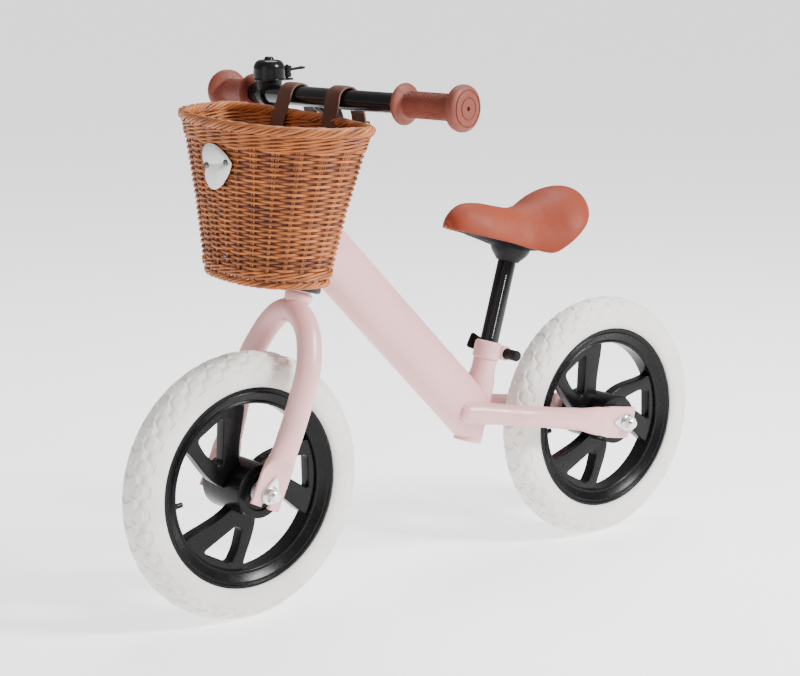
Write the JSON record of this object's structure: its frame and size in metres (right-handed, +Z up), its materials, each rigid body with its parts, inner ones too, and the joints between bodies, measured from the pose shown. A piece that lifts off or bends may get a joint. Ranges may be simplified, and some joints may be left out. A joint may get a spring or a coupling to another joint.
{
  "type": "balance bike",
  "caption": "Child's balance bike with a slanted tube frame, spoked wheels on foam tyres, height-adjustable saddle, steering bar with grips and thumb bell, and a woven basket.",
  "frame": {"origin": "on the ground, midway between the two wheel axles, on the centre plane", "axes": "+X forwards along the ride, +Y to the rider's left, +Z up"},
  "size_m": [0.839, 0.4474, 0.6084],
  "materials": {
    "pink_paint": "satin",
    "black_paint": "gloss",
    "black_plastic": "satin",
    "white_foam": "matte",
    "terracotta_rubber": "matte",
    "terracotta_vinyl": "satin",
    "brown_leather": "satin",
    "honey_wicker": "satin",
    "silver_plate": "satin",
    "zinc_steel": "satin"
  },
  "bodies": {
    "frame": {"head_tube": "pink_paint", "down_tube": "pink_paint", "seat_tube": "pink_paint", "left_chainstay": "pink_paint", "right_chainstay": "pink_paint", "lower_headset_cup": "black_plastic", "upper_headset_cup": "black_plastic", "lower_headset_bearing": "zinc_steel", "upper_headset_bearing": "zinc_steel", "seat_clamp_collar": "pink_paint", "clamp_skewer": "zinc_steel", "clamp_nut": "black_plastic", "rear_axle": "zinc_steel", "rear_left_nut": "zinc_steel", "rear_right_nut": "zinc_steel", "rear_left_retainer": "zinc_steel", "rear_right_retainer": "zinc_steel", "rear_left_spacer": "zinc_steel", "rear_right_spacer": "zinc_steel"},
    "quick_release_lever": {"clamp_lever": "black_plastic"},
    "steering": {"fork_steerer": "pink_paint", "fork_left_leg": "pink_paint", "fork_right_leg": "pink_paint", "headset_locknut": "black_plastic", "stem": "black_paint", "stem_bolt": "zinc_steel", "stem_wedge": "zinc_steel", "handlebar": "black_paint", "left_grip": "terracotta_rubber", "right_grip": "terracotta_rubber", "bell_base": "black_plastic", "bell_dome": "black_paint", "basket": "honey_wicker", "left_strap": "brown_leather", "right_strap": "brown_leather", "left_buckle": "zinc_steel", "right_buckle": "zinc_steel", "basket_badge": "silver_plate", "badge_screw_1": "zinc_steel", "badge_screw_2": "zinc_steel", "front_axle": "zinc_steel", "front_left_nut": "zinc_steel", "front_right_nut": "zinc_steel", "front_left_retainer": "zinc_steel", "front_right_retainer": "zinc_steel", "front_left_spacer": "zinc_steel", "front_right_spacer": "zinc_steel"},
    "bell_thumb_lever": {"bell_lever": "black_plastic"},
    "front_wheel": {"front_tyre": "white_foam", "front_rim": "black_plastic", "front_left_bearing": "zinc_steel", "front_right_bearing": "zinc_steel"},
    "rear_wheel": {"rear_tyre": "white_foam", "rear_rim": "black_plastic", "rear_left_bearing": "zinc_steel", "rear_right_bearing": "zinc_steel"},
    "seat": {"seat_post": "black_paint", "saddle_bracket": "black_plastic", "saddle_base": "black_plastic", "saddle_pad": "terracotta_vinyl"}
  },
  "joints": [
    {"name": "steering_turn", "type": "hinge", "parent": "frame", "child": "steering", "pos_m": [0.1905, 0, 0.355], "axis": [-0.2924, 0, 0.9563], "range_deg": [-60, 60]},
    {"name": "front_wheel_spin", "type": "hinge", "parent": "steering", "child": "front_wheel", "pos_m": [0.2695, 0, 0.15], "axis": [0, 1, 0], "continuous": true},
    {"name": "rear_wheel_spin", "type": "hinge", "parent": "frame", "child": "rear_wheel", "pos_m": [-0.2695, 0, 0.15], "axis": [0, 1, 0], "continuous": true},
    {"name": "seat_height", "type": "slide", "parent": "frame", "child": "seat", "axis": [-0.279, 0, 0.9603], "range_m": [-0.045, 0.03]},
    {"name": "quick_release_throw", "type": "hinge", "parent": "frame", "child": "quick_release_lever", "pos_m": [-0.1079, -0.0165, 0.2504], "axis": [0.4848, 0, -0.8746], "range_deg": [0, 150]},
    {"name": "bell_lever_press", "type": "hinge", "parent": "steering", "child": "bell_thumb_lever", "pos_m": [0.12953, -0.103, 0.5835], "axis": [0, 0, 1], "range_deg": [0, 25], "stiffness_Nm_per_rad": 0.03, "springref_deg": -8.59}
  ]
}
